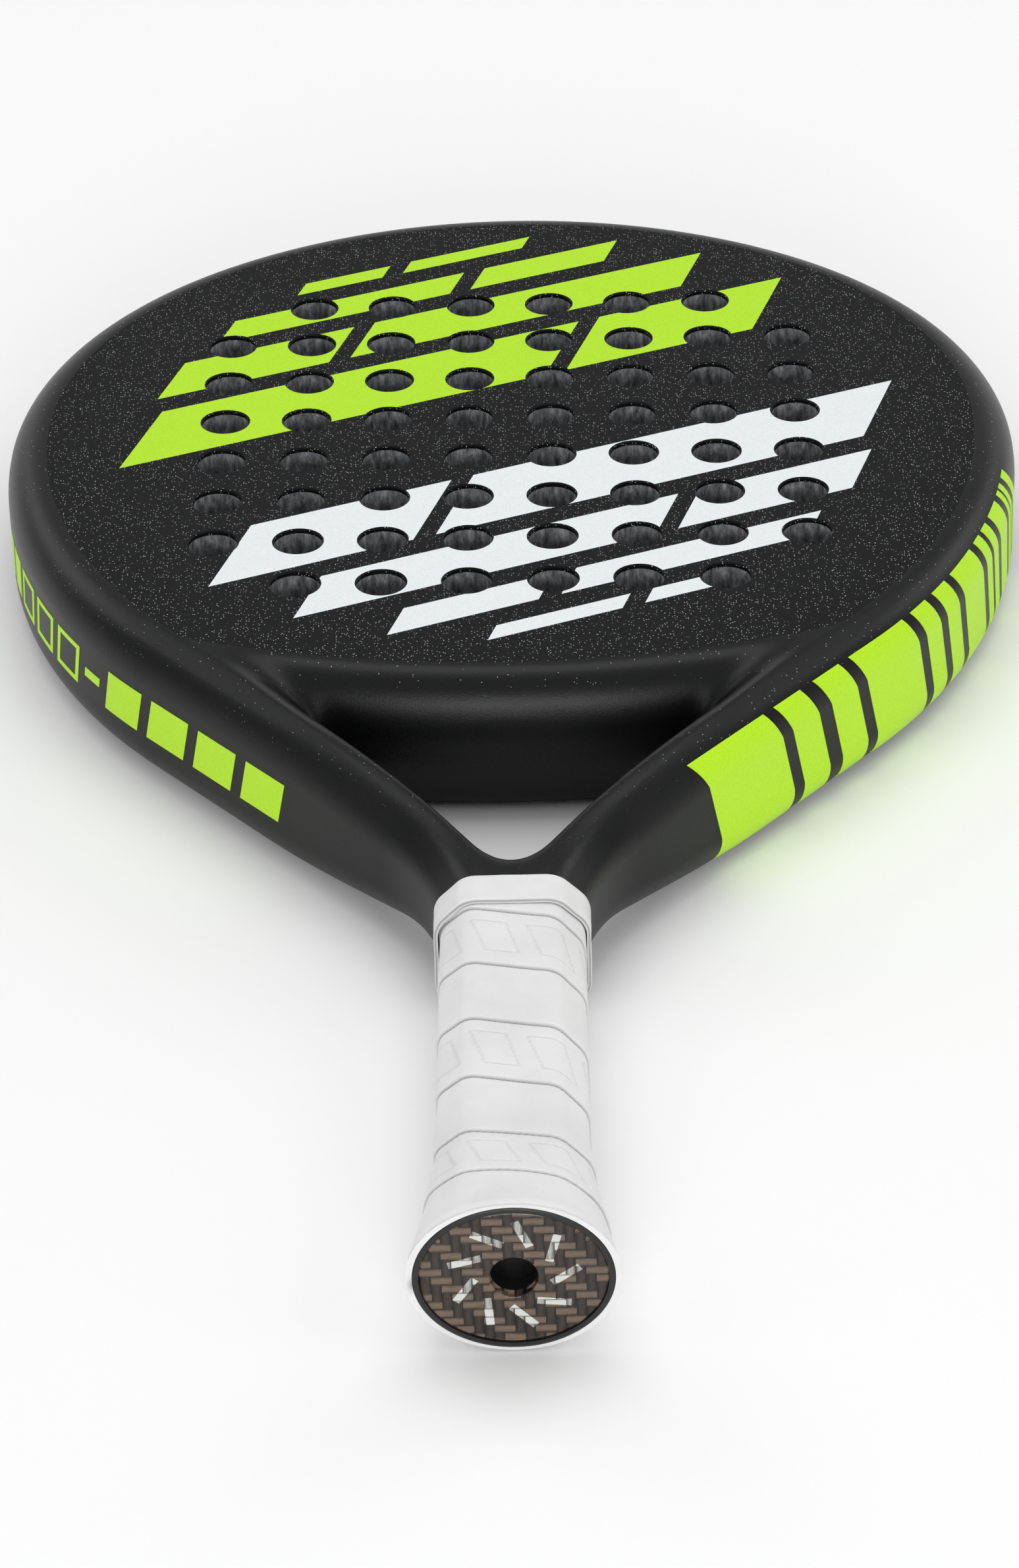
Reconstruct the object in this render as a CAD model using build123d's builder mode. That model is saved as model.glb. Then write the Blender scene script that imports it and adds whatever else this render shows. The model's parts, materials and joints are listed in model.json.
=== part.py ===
"""Padel racket: a hollow moulded frame tube, a bridge tube closing the open throat, a drilled foam core
between two drilled face sheets, inlaid graphics, and a wrapped handle with a butt cap and a badge.

The racket lies on its back face. +Y runs from the butt to the tip, +Z from the back face to the front
face, and the origin is the centre of the overall box at its bottom. All sizes are in millimetres.
"""

import math
import os

from build123d import *

# ---- Overall size ----
LENGTH = 455.0
WIDTH = 259.0
THICK = 38.0
MID_Z = THICK / 2
TIP_Y = LENGTH / 2
BUTT_Y = -LENGTH / 2

# ---- Plan outline of the moulded body ----
TIP_R = 134.0  # the arc across the tip
BROW_R = 123.0  # the tighter arcs from there to the widest points
CHEEK_R = 168.0  # the fuller arcs below the widest points
ARM_ANGLE = 40.5  # slope of the throat arms from the handle's axis
HANDLE_HALF_W = 15.5
FLARE_R = 60.0  # arms into handle
SHOULDER_R = 8.5  # rounding of every outer edge

# ---- Throat opening ----
BRIDGE_R = 232.0
BRIDGE_Y = -28.0  # the bridge's handle-side wall on the axis
THROAT_CORNER_X = 51.0
THROAT_POINT_Y = -100.0  # where the two arms' inner walls would meet
CROTCH_R = 11.5
THROAT_CORNER_R = 7.0
THROAT_EDGE_R = 4.0

# ---- Side profile: the throat thins down to the handle ----
HANDLE_T = 28.0
TAPER_START_Y = -40.0
TAPER_END_Y = -98.0

# ---- Frame and bridge tubes ----
TUBE_W = 14.0  # the tube's width around the head
WALL = 2.0
HOLLOW_STEPS = ((2.0, 6.0), (4.0, 3.2))  # the hollow's insets from the outline and from the top and bottom
BRIDGE_HALF = 48.0
BRIDGE_TOP_Y = 20.0
LEG_END_Y = -221.0  # the two legs stop here, inside the butt cap
LEG_GAP = 14.5

# ---- Face sheets, core and holes ----
SHEET_T = 1.2
SHEET_INSET = 10.5  # from the body's outline to the sheet's edge
HEAD_SWEEP = 60.0  # how far the cheek arcs run on, past the bridge's wall line
HEAD_CORNER_R = 16.0
PITCH = 21.0
HOLE_R = 6.1
HOLE_CHAMFER = 0.35
HOLE_GRID_Y = 94.8
HOLES_ACROSS = 8
HOLE_REACH = 4.5 * PITCH  # a grid corner further out than this has no hole

# ---- Face graphics: slanted bars, each cut in two ----
INLAY = 0.15  # depth of the inlaid transfers
GRAPHIC_Y = 101.0
GRAPHIC_TILT = 23.0
BAND_HALF_GAP = 21.0  # from the face's middle line to the first bar
BAR_WIDTHS = (24.0, 16.0, 10.0, 5.5)
BAR_LENGTHS = (178.0, 150.0, 112.0, 66.0)
BAR_GAP = 7.0
BAR_SHIFT = 4.0  # each bar is shifted this much along from the one before
BAR_LEAN = 40.0
SPLIT_SHARES = (0.68, 0.34, 0.62, 0.42)
SPLIT_GAP = 6.0

# ---- Side graphics: rows of slanted blocks, as thin films on the wall ----
FILM_T = 0.12
BLOCK_LEAN = 12.0
BLOCK_GAP = 3.0
RIGHT_START_Y = -56.0
RIGHT_BLOCKS = (21.0, 19.0, 17.0, 15.0, 12.0, 10.0, 8.0, 6.0, 4.0)
RIGHT_HALF_H = 9.5
LEFT_START_Y = -48.0
LEFT_BLOCKS = (11.0, 11.0, 11.0, 11.0, 6.0, 11.0, 11.0, 11.0, 8.0, 6.0)
LEFT_DASH = 4  # the one drawn as a low dash
LEFT_OUTLINED = (5, 6, 7)
LEFT_HALF_H = 5.8
DASH_HALF_H = 1.3
OUTLINE_W = 1.4

# ---- Handle ----
CORE_TOP_Y = -104.0
GRIP_TOP_Y = -103.5
GRIP_OCTAGON = (32.8, 30.2, 6.6)  # width, thickness and corner chamfer
FLARE_START_Y = -196.0
GRIP_END_Y = -224.3
GRIP_END_OVAL = (21.0, 18.2)  # half width and half thickness
SEAM_PITCH = 20.5
SEAM_FIRST_Y = -119.0
SEAM_SLOPE = 10.0
SEAM_W = 0.7
SEAM_DEPTH = 0.35
TAPE_OCTAGON = (35.0, 32.4, 7.0)
TAPE_TOP_Y = -101.5
TAPE_END_Y = -112.5

# ---- Butt cap and badge ----
CAP_START_Y = -205.0
CAP_OCTAGON = (32.2, 29.4, 6.4)
CAP_OVAL = (20.0, 17.2)
CAP_FLANGE_OVAL = (20.8, 18.0)
BORE_R = 4.9
SLEEVE_R = 6.6
SLEEVE_END_Y = -207.0
BADGE_OVAL = (19.4, 16.6)
BADGE_FLOOR_Y = -225.0
BADGE_T = 0.8
FOIL_T = 0.15
DOME_T = 1.4
BADGE_GAP = 0.05
BLADES = 9
BLADE_SIZE = (7.0, 1.7)
BLADE_RING_R = 10.6
BLADE_LEAN = 35.0
PIN_R = 0.8
PIN_SPAN = (11.5, 17.2)
PIN_Y = -213.0

os.makedirs("parts", exist_ok=True)


def save(part, name):
    """Labels a finished piece and writes its STEP file."""
    part.label = name
    export_step(part, f"parts/{name}.step")


# ============================== plan curves ==============================
slope = math.radians(ARM_ANGLE)
tip_centre = (0, TIP_Y - TIP_R)
brow_x = WIDTH / 2 - BROW_R
wide_y = tip_centre[1] + math.sqrt((TIP_R - BROW_R) ** 2 - brow_x**2)  # height of the widest points
brow = (brow_x, wide_y)
brow_start = math.degrees(math.atan2(wide_y - tip_centre[1], brow_x))  # where the two upper arcs meet
cheek = (WIDTH / 2 - CHEEK_R, wide_y)
arm_top = (cheek[0] + CHEEK_R * math.cos(slope), wide_y - CHEEK_R * math.sin(slope))
arm_foot_y = arm_top[1] - (arm_top[0] - HANDLE_HALF_W) / math.tan(slope)
flare_run = FLARE_R * math.tan(slope / 2)
flare_in = (HANDLE_HALF_W + flare_run * math.sin(slope), arm_foot_y + flare_run * math.cos(slope))
flare_out = (HANDLE_HALF_W, arm_foot_y - flare_run)
throat_corner = (THROAT_CORNER_X, BRIDGE_Y + BRIDGE_R - math.sqrt(BRIDGE_R**2 - THROAT_CORNER_X**2))

with BuildSketch() as body_plan:
    with BuildLine():
        CenterArc(tip_centre, TIP_R, brow_start, 90 - brow_start)
        CenterArc(brow, BROW_R, 0, brow_start)
        CenterArc(cheek, CHEEK_R, 0, -ARM_ANGLE)
        Line(arm_top, flare_in)
        TangentArc(flare_in, flare_out, tangent=(-math.sin(slope), -math.cos(slope)))
        Polyline(flare_out, (HANDLE_HALF_W, LEG_END_Y), (0, LEG_END_Y))
        mirror(about=Plane.YZ)
    make_face()

with BuildSketch() as throat_plan:
    with BuildLine():
        ThreePointArc(throat_corner, (0, BRIDGE_Y), (-throat_corner[0], throat_corner[1]))
        Polyline((-throat_corner[0], throat_corner[1]), (0, THROAT_POINT_Y), throat_corner)
    make_face()
    fillet(throat_plan.vertices().group_by(Axis.Y)[-1], radius=THROAT_CORNER_R)
    fillet(throat_plan.vertices().sort_by(Axis.Y)[0], radius=CROTCH_R)

# The head alone, closed below by the bridge's wall line: the sheets and the core are offsets of it.
with BuildSketch() as head_plan:
    with BuildLine():
        CenterArc(tip_centre, TIP_R, brow_start, 90 - brow_start)
        CenterArc(brow, BROW_R, 0, brow_start)
        cheek_arc = CenterArc(cheek, CHEEK_R, 0, -HEAD_SWEEP)
        Line(cheek_arc @ 1, (0, (cheek_arc @ 1).Y))
        mirror(about=Plane.YZ)
    make_face()
    with Locations((0, BRIDGE_Y + BRIDGE_R)):
        Circle(BRIDGE_R, mode=Mode.INTERSECT)


def head_inside(inset, corner_r):
    """The head's outline inset all round, with its two lower corners rounded."""
    with BuildSketch() as inside:
        offset(head_plan.sketch, amount=-inset)
        fillet(inside.vertices().filter_by(lambda v: abs(v.X) > 1).group_by(Axis.Y)[0], radius=corner_r)
    return inside.sketch


sheet_plan = head_inside(SHEET_INSET, HEAD_CORNER_R)
core_plan = head_inside(TUBE_W, HEAD_CORNER_R)
core_wall_plan = head_inside(TUBE_W - WALL, HEAD_CORNER_R + WALL)


def side_plan(inset):
    """The racket seen from the side, thinned by inset above and below: level, then tapering to the handle."""
    full, slim = THICK / 2 - inset, HANDLE_T / 2 - inset
    with BuildSketch(Plane.YZ.offset(-WIDTH)) as side:
        with BuildLine():
            Spline((TAPER_END_Y, MID_Z + slim), (TAPER_START_Y, MID_Z + full), tangents=((1, 0), (1, 0)))
            Polyline((TAPER_START_Y, MID_Z + full), (LENGTH, MID_Z + full), (LENGTH, MID_Z))
            Polyline((TAPER_END_Y, MID_Z + slim), (-LENGTH, MID_Z + slim), (-LENGTH, MID_Z))
            mirror(about=Plane.XZ.offset(-MID_Z))
        make_face()
    return side.sketch


# ============================== drilling ==============================
hole_spots = [spot for spot in GridLocations(PITCH, PITCH, HOLES_ACROSS, HOLES_ACROSS)
              if math.hypot(spot.position.X, spot.position.Y) < HOLE_REACH]


def drills(radius):
    """Cylinders through the whole head, one for each hole."""
    with BuildPart() as cutters:
        with BuildSketch():
            with Locations((0, HOLE_GRID_Y)):
                with Locations(*hole_spots):
                    Circle(radius)
        extrude(amount=THICK)
    return cutters.part


hole_cutters = drills(HOLE_R)
graphic_cutters = drills(HOLE_R + HOLE_CHAMFER)

with BuildPart() as eva_core:
    with BuildSketch(Plane.XY.offset(SHEET_T)):
        add(core_plan)
    extrude(amount=THICK - 2 * SHEET_T)
    add(hole_cutters, mode=Mode.SUBTRACT)
save(eva_core.part, "eva_core")


# ============================== face graphics ==============================
def bar_pieces(k, side):
    """Bar k's two pieces as corner lists. side is 1 towards the tip and -1 towards the handle."""
    width, length = BAR_WIDTHS[k], BAR_LENGTHS[k]
    near = BAND_HALF_GAP + sum(BAR_WIDTHS[:k]) + k * BAR_GAP
    middle = side * (near + width / 2)
    lean = width / 2 * math.tan(math.radians(BAR_LEAN))
    start = side * k * BAR_SHIFT - length / 2
    split = start + length * (SPLIT_SHARES[k] if side > 0 else 1 - SPLIT_SHARES[k])
    spans = ((start, split - SPLIT_GAP / 2), (split + SPLIT_GAP / 2, start + length))
    return [((left - lean, middle - width / 2), (right - lean, middle - width / 2),
             (right + lean, middle + width / 2), (left + lean, middle + width / 2)) for left, right in spans]


def bars(side, bottom):
    """One half's inlaid bars, standing on the plane z=bottom."""
    tilted = Plane(origin=(0, GRAPHIC_Y, bottom)).rotated((0, 0, GRAPHIC_TILT))
    with BuildPart() as inlay:
        with BuildSketch(tilted):
            for k in range(len(BAR_WIDTHS)):
                for corners in bar_pieces(k, side):
                    Polygon(*corners, align=None)
        extrude(amount=INLAY)
        add(graphic_cutters, mode=Mode.SUBTRACT)
    return inlay.part


front_lime = bars(1, THICK - INLAY)
front_white = bars(-1, THICK - INLAY)
back_lime = bars(1, 0)
back_white = bars(-1, 0)
save(front_lime, "front_graphic_lime")
save(front_white, "front_graphic_white")
save(back_lime, "back_graphic_lime")
save(back_white, "back_graphic_white")

# ============================== face sheets ==============================
with BuildPart() as front_face:
    with BuildSketch(Plane.XY.offset(THICK - SHEET_T)):
        add(sheet_plan)
    extrude(amount=SHEET_T)
    add(hole_cutters, mode=Mode.SUBTRACT)
    chamfer(front_face.faces().sort_by(Axis.Z)[-1].inner_wires().edges(), length=HOLE_CHAMFER)
    add(front_lime, mode=Mode.SUBTRACT)
    add(front_white, mode=Mode.SUBTRACT)
save(front_face.part, "front_face")

with BuildPart() as back_face:
    with BuildSketch():
        add(sheet_plan)
    extrude(amount=SHEET_T)
    add(hole_cutters, mode=Mode.SUBTRACT)
    chamfer(back_face.faces().sort_by(Axis.Z)[0].inner_wires().edges(), length=HOLE_CHAMFER)
    add(back_lime, mode=Mode.SUBTRACT)
    add(back_white, mode=Mode.SUBTRACT)
save(back_face.part, "back_face")

# ============================== side graphics ==============================
with BuildPart() as side_skin:
    with BuildSketch(Plane.XY.offset(MID_Z - RIGHT_HALF_H)):
        offset(body_plan.sketch, amount=FILM_T)
        add(body_plan.sketch, mode=Mode.SUBTRACT)
    extrude(amount=2 * RIGHT_HALF_H)


def block_starts(first_y, widths):
    """Where each block of a row begins."""
    return [first_y + sum(widths[:k]) + k * BLOCK_GAP for k in range(len(widths))]


def block(start, width, half_h, inset=0.0):
    """One leaning block, seen from the side, shrunk by inset."""
    lean = math.tan(math.radians(BLOCK_LEAN))
    low, high = -half_h + inset, half_h - inset
    Polygon((start + inset - low * lean, MID_Z + low), (start + width - inset - low * lean, MID_Z + low),
            (start + width - inset - high * lean, MID_Z + high), (start + inset - high * lean, MID_Z + high),
            align=None, mode=Mode.SUBTRACT if inset else Mode.ADD)


with BuildPart() as right_blocks:
    with BuildSketch(Plane.YZ):
        for start, width in zip(block_starts(RIGHT_START_Y, RIGHT_BLOCKS), RIGHT_BLOCKS):
            block(start, width, RIGHT_HALF_H)
    extrude(amount=WIDTH)

with BuildPart() as left_blocks:
    with BuildSketch(Plane.YZ):
        for k, start in enumerate(block_starts(LEFT_START_Y, LEFT_BLOCKS)):
            block(start, LEFT_BLOCKS[k], DASH_HALF_H if k == LEFT_DASH else LEFT_HALF_H)
            if k in LEFT_OUTLINED:
                block(start, LEFT_BLOCKS[k], LEFT_HALF_H, inset=OUTLINE_W)
    extrude(amount=-WIDTH)

with BuildPart() as side_graphic_right:
    add(side_skin.part)
    add(right_blocks.part, mode=Mode.INTERSECT)
save(side_graphic_right.part, "side_graphic_right")

with BuildPart() as side_graphic_left:
    add(side_skin.part)
    add(left_blocks.part, mode=Mode.INTERSECT)
save(side_graphic_left.part, "side_graphic_left")

# ============================== frame tube and bridge tube ==============================
with BuildPart() as moulding:
    add(body_plan.sketch)
    extrude(amount=THICK)
    extrude(side_plan(0), amount=2 * WIDTH, dir=(1, 0, 0), mode=Mode.INTERSECT)
    long_edges = moulding.edges().filter_by(
        lambda e: abs(e.center().Z - MID_Z) > HANDLE_T / 2 - 1 and e.center().Y > LEG_END_Y + 1
        and (abs(e.center().X) > 1 or e.center().Y > TIP_Y - 1))
    fillet(long_edges, radius=SHOULDER_R)
    add(throat_plan.sketch)
    extrude(amount=THICK, mode=Mode.SUBTRACT)
    throat_walls = moulding.faces(Select.LAST).filter_by(lambda f: abs(f.normal_at().Z) < 0.01)
    fillet(throat_walls.edges().filter_by(Axis.Z, reverse=True), radius=THROAT_EDGE_R)


def hollow(inset, margin):
    """The tubes' inside, inset from the outline and kept margin below the top and above the bottom."""
    leg_w = HANDLE_HALF_W - inset - LEG_GAP / 2 - WALL
    with BuildPart() as inside:
        with BuildSketch():
            offset(body_plan.sketch, amount=-inset)
            offset(throat_plan.sketch, amount=WALL, mode=Mode.SUBTRACT)
            add(core_wall_plan, mode=Mode.SUBTRACT)
            with Locations((0, (THROAT_POINT_Y + BUTT_Y) / 2)):
                Rectangle(LEG_GAP + 2 * WALL, THROAT_POINT_Y - BUTT_Y, mode=Mode.SUBTRACT)
            with Locations((HANDLE_HALF_W - inset - leg_w / 2, LEG_END_Y),
                           (-HANDLE_HALF_W + inset + leg_w / 2, LEG_END_Y)):
                Rectangle(leg_w, 3 * inset)
        extrude(amount=THICK)
        extrude(side_plan(margin), amount=2 * WIDTH, dir=(1, 0, 0), mode=Mode.INTERSECT)
    return inside.part


with BuildPart() as shell:
    add(moulding.part)
    with BuildSketch(Plane.XY.offset(THICK - SHEET_T)):
        add(sheet_plan)
    extrude(amount=SHEET_T, mode=Mode.SUBTRACT)
    with BuildSketch():
        add(sheet_plan)
    extrude(amount=SHEET_T, mode=Mode.SUBTRACT)
    with BuildSketch():
        add(core_plan)
    extrude(amount=THICK, mode=Mode.SUBTRACT)
    for inset, margin in HOLLOW_STEPS:
        add(hollow(inset, margin), mode=Mode.SUBTRACT)
    with BuildSketch():
        with Locations((0, (CORE_TOP_Y + BUTT_Y) / 2)):
            Rectangle(LEG_GAP, CORE_TOP_Y - BUTT_Y)
    extrude(amount=THICK, mode=Mode.SUBTRACT)

with BuildPart() as bridge_zone:
    with BuildSketch():
        with Locations((0, BRIDGE_Y + BRIDGE_R)):
            Circle(BRIDGE_R + 1)
        with Locations((0, BRIDGE_TOP_Y / 2 + BRIDGE_Y)):
            Rectangle(2 * BRIDGE_HALF, BRIDGE_TOP_Y - 2 * BRIDGE_Y, mode=Mode.INTERSECT)
    extrude(amount=THICK)

with BuildPart() as throat_bridge:
    add(shell.part)
    add(bridge_zone.part, mode=Mode.INTERSECT)
save(throat_bridge.part, "throat_bridge")


def across(y):
    """A section plane across the handle at y: X along +X, Y along +Z, centred on the handle's axis."""
    return Plane(origin=(0, y, MID_Z), x_dir=(1, 0, 0), z_dir=(0, -1, 0))


def octagon(width, thick, corner, mode=Mode.ADD):
    """The handle's eight-sided section, in the current sketch."""
    x, z, c = width / 2, thick / 2, corner
    Polygon((x, c - z), (x, z - c), (x - c, z), (c - x, z), (-x, z - c), (-x, c - z), (c - x, -z), (x - c, -z),
            align=None, mode=mode)


# ============================== butt cap, pins and badge ==============================
with BuildPart() as butt_cap_pins:
    for side in (-1, 1):
        with BuildSketch(Plane.YZ.offset(side * PIN_SPAN[0])):
            with Locations((PIN_Y, MID_Z)):
                Circle(PIN_R)
        extrude(amount=side * (PIN_SPAN[1] - PIN_SPAN[0]))
save(butt_cap_pins.part, "butt_cap_pins")

with BuildPart() as frame_tube:
    add(shell.part)
    add(bridge_zone.part, mode=Mode.SUBTRACT)
    add(butt_cap_pins.part, mode=Mode.SUBTRACT)
save(frame_tube.part, "frame_tube")

with BuildPart() as handle_core:
    with BuildSketch(Plane.XY.offset(MID_Z - HANDLE_T / 2)):
        with Locations((0, (CORE_TOP_Y + LEG_END_Y) / 2)):
            Rectangle(LEG_GAP, CORE_TOP_Y - LEG_END_Y)
    extrude(amount=HANDLE_T)
    add(moulding.part, mode=Mode.INTERSECT)
    with BuildSketch(across(LEG_END_Y)):
        Circle(SLEEVE_R)
    extrude(amount=LEG_END_Y - SLEEVE_END_Y, mode=Mode.SUBTRACT)
save(handle_core.part, "handle_core")

with BuildPart() as cap_blank:
    with BuildSketch(across(CAP_START_Y)):
        octagon(*CAP_OCTAGON)
    with BuildSketch(across(GRIP_END_Y)):
        Ellipse(*CAP_OVAL)
    loft()
    with BuildSketch(across(GRIP_END_Y)):
        Ellipse(*CAP_FLANGE_OVAL)
    extrude(amount=GRIP_END_Y - BUTT_Y)
    fillet(cap_blank.faces().sort_by(Axis.Y)[0].edges(), radius=0.8)

with BuildPart() as butt_cap:
    add(cap_blank.part)
    add(moulding.part, mode=Mode.SUBTRACT)
    with BuildSketch(across(LEG_END_Y)):
        Circle(SLEEVE_R)
    extrude(amount=LEG_END_Y - SLEEVE_END_Y)
    with BuildSketch(across(BADGE_FLOOR_Y)):
        Ellipse(*BADGE_OVAL)
    extrude(amount=BADGE_FLOOR_Y - BUTT_Y, mode=Mode.SUBTRACT)
    with BuildSketch(across(SLEEVE_END_Y)):
        Circle(BORE_R)
    extrude(amount=SLEEVE_END_Y - BUTT_Y, mode=Mode.SUBTRACT)
    add(butt_cap_pins.part, mode=Mode.SUBTRACT)
save(butt_cap.part, "butt_cap")

badge_half = (BADGE_OVAL[0] - BADGE_GAP, BADGE_OVAL[1] - BADGE_GAP)
badge_top_y = BADGE_FLOOR_Y - BADGE_T

with BuildPart() as butt_badge_carbon:
    with BuildSketch(across(BADGE_FLOOR_Y)):
        Ellipse(*badge_half)
        Circle(BORE_R, mode=Mode.SUBTRACT)
    extrude(amount=BADGE_T)
save(butt_badge_carbon.part, "butt_badge_carbon")

with BuildPart() as butt_badge_emblem:
    with BuildSketch(across(badge_top_y)):
        with PolarLocations(BLADE_RING_R, BLADES):
            with Locations(Rotation(0, 0, BLADE_LEAN)):
                Rectangle(*BLADE_SIZE)
    extrude(amount=FOIL_T)
save(butt_badge_emblem.part, "butt_badge_emblem")

with BuildPart() as butt_badge_dome:
    with BuildSketch(across(badge_top_y)):
        Ellipse(*badge_half)
        Circle(BORE_R, mode=Mode.SUBTRACT)
    extrude(amount=DOME_T)
    fillet(butt_badge_dome.faces().sort_by(Axis.Y)[0].edges(), radius=0.6)
    add(butt_badge_emblem.part, mode=Mode.SUBTRACT)
save(butt_badge_dome.part, "butt_badge_dome")

# ============================== grip and finishing tape ==============================
with BuildPart() as grip_blank:
    with BuildSketch(across(GRIP_TOP_Y)):
        octagon(*GRIP_OCTAGON)
    extrude(amount=GRIP_TOP_Y - FLARE_START_Y)
    with BuildSketch(across(FLARE_START_Y)):
        octagon(*GRIP_OCTAGON)
    with BuildSketch(across(GRIP_END_Y)):
        Ellipse(*GRIP_END_OVAL)
    loft()

# The wrap's seams: shallow slanted grooves all round the straight part of the grip.
with BuildPart() as seams:
    for k in range(int((SEAM_FIRST_Y - FLARE_START_Y) / SEAM_PITCH) + 1):
        seam_plane = across(SEAM_FIRST_Y - k * SEAM_PITCH).rotated((0, SEAM_SLOPE, 0))
        with BuildSketch(seam_plane):
            Rectangle(WIDTH, WIDTH)
        extrude(amount=SEAM_W)
    with BuildSketch(across(GRIP_TOP_Y)):
        octagon(GRIP_OCTAGON[0] - 2 * SEAM_DEPTH, GRIP_OCTAGON[1] - 2 * SEAM_DEPTH, GRIP_OCTAGON[2])
    extrude(amount=GRIP_TOP_Y - GRIP_END_Y, mode=Mode.SUBTRACT)

with BuildPart() as base_grip:
    add(grip_blank.part)
    add(seams.part, mode=Mode.SUBTRACT)
    add(moulding.part, mode=Mode.SUBTRACT)
    add(cap_blank.part, mode=Mode.SUBTRACT)
save(base_grip.part, "base_grip")

with BuildPart() as finishing_tape:
    with BuildSketch(across(TAPE_TOP_Y)):
        octagon(*TAPE_OCTAGON)
    extrude(amount=TAPE_TOP_Y - TAPE_END_Y)
    add(grip_blank.part, mode=Mode.SUBTRACT)
    add(moulding.part, mode=Mode.SUBTRACT)
save(finishing_tape.part, "finishing_tape")
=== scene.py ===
"""The padel racket's looks: a sculpted frame, a wound grip and printed sides on the CAD's other pieces."""

import json
import math
import bmesh
import bpy
import numpy as np
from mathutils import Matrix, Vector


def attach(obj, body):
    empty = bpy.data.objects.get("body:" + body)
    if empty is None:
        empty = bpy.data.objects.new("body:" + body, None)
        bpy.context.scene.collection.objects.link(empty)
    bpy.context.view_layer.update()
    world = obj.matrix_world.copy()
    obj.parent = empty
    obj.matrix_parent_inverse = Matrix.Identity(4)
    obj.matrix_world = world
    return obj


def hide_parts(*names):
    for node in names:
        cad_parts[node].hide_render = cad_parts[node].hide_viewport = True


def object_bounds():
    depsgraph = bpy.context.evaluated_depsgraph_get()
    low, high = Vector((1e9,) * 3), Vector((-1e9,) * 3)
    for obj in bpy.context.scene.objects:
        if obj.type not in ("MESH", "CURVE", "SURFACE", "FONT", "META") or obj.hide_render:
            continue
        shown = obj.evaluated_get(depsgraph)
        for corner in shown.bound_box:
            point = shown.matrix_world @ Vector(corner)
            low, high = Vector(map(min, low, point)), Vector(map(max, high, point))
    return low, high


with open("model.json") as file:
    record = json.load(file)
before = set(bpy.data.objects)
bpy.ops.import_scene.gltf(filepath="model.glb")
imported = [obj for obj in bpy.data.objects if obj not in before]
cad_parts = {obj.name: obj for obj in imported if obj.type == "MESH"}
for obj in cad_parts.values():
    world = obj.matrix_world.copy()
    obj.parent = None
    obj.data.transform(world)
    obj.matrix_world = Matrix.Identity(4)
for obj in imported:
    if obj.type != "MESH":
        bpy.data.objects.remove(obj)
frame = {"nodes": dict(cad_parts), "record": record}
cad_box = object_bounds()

import openvdb
from mathutils import Matrix, Vector

MM = 0.001

# ---- Plan outline of the moulded body, in millimetres ----
HALF_W = (cad_box[1][0] - cad_box[0][0]) / 2 / MM
THICK = (cad_box[1][2] - cad_box[0][2]) / MM
MID_Z = THICK / 2
TIP_Y = cad_box[1][1] / MM
TIP_R = 134.0
BROW_R = 123.0
CHEEK_R = 168.0
ARM_ANGLE = math.radians(40.5)
HANDLE_HALF_W = 15.5
FLARE_R = 60.0

# ---- Throat opening ----
BRIDGE_R = 232.0
BRIDGE_Y = -28.0
THROAT_CORNER = (51.0, -22.3)
THROAT_POINT_Y = -97.5
CORNER_BLEND = 9.0
CROTCH_BLEND = 15.0

# ---- Edges and side profile ----
HANDLE_HALF_T = 14.0
TAPER = (-98.0, -40.0)
SHOULDER_R = 10.4
FACET = 7.0  # the handle's corner facets
HANDLE_EDGE_BLEND = 1.0
FACET_BLEND = 2.0
FACET_FADE = (-106.0, -38.0)  # where the facets turn into round shoulders
BRIDGE_EDGE = (10.2, 17.0)  # the inner edge's roll over the bridge: its reach inwards and down
CROTCH_EDGE = (3.8, 5.0)  # and round the crotch
EDGE_FADE = (-80.0, -28.0)
RIDGE_BLEND = 1.6  # softening of the arms' ridges, where an arm is narrow both ways
RIDGE_LEAST = 0.01  # the share of it that is left elsewhere
RIDGE_NEAR = (6.0, 10.4)
RIDGE_FAR = (15.0, 24.0)
LEG_END_Y = -221.0
VOXEL = 1.0
VOXEL_MARGIN = 3.0  # empty space round the body
VOXEL_BAND = 5.0  # the field is cut off this far from the surface
SLOPE_STEP = 0.02
SLOPE_LEAST = 0.05
SETTLE_ROUNDS = 6  # how often points are moved towards the surface
MERGE = 1e-6  # metres: points closer than this become one
LEVEL_SLACK = 1e-5  # metres: how far a point may be off a sheet's top
WALL_TILT, TOP_TILT = 0.05, 0.95  # upward part of a wall's normal at most, of a top's at least
CUT_MARGIN = 0.01  # metres: how far the cutter reaches past the faces
FRAME_SMOOTH = 40  # degrees: edges sharper than this stay sharp

# ---- Side graphics ----
FILM = 0.12  # above the body's surface
FILM_DEPTH = 0.15  # and below it
FILM_GRID = (28, 22)  # points along and across each film
FILM_SMOOTH = 50
WALL_ENDS = (-110.0, 110.0)
WALL_POINTS = 441
WALL_HALVINGS = 40
SHOULDER_DRAW = 0.4  # first guess of how far a shoulder draws in, as a share of its height
LEAN = math.tan(math.radians(12.0))
BLOCK_GAP = 3.0
RIGHT_START_Y = -56.0
RIGHT_BLOCKS = (21.0, 19.0, 17.0, 15.0, 12.0, 10.0, 8.0, 6.0, 4.0)
RIGHT_LOW = 16.0  # below and above the wall's middle line
RIGHT_HIGH = 16.2
RIGHT_STROKE = 0.4  # every other block is two strokes, each this share of its width
LEFT_START_Y = -48.0
LEFT_BLOCKS = (11.0, 11.0, 11.0, 11.0, 6.0, 11.0, 11.0, 11.0, 8.0, 6.0)
LEFT_DASH = 4
LEFT_OUTLINED = (5, 6, 7)
LEFT_HALF_H = 5.8
DASH_HALF_H = 1.3
OUTLINE_W = 1.4
OUTLINE_GAP = 0.03  # keeps an outline's upright strokes off its upper and lower ones

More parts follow.
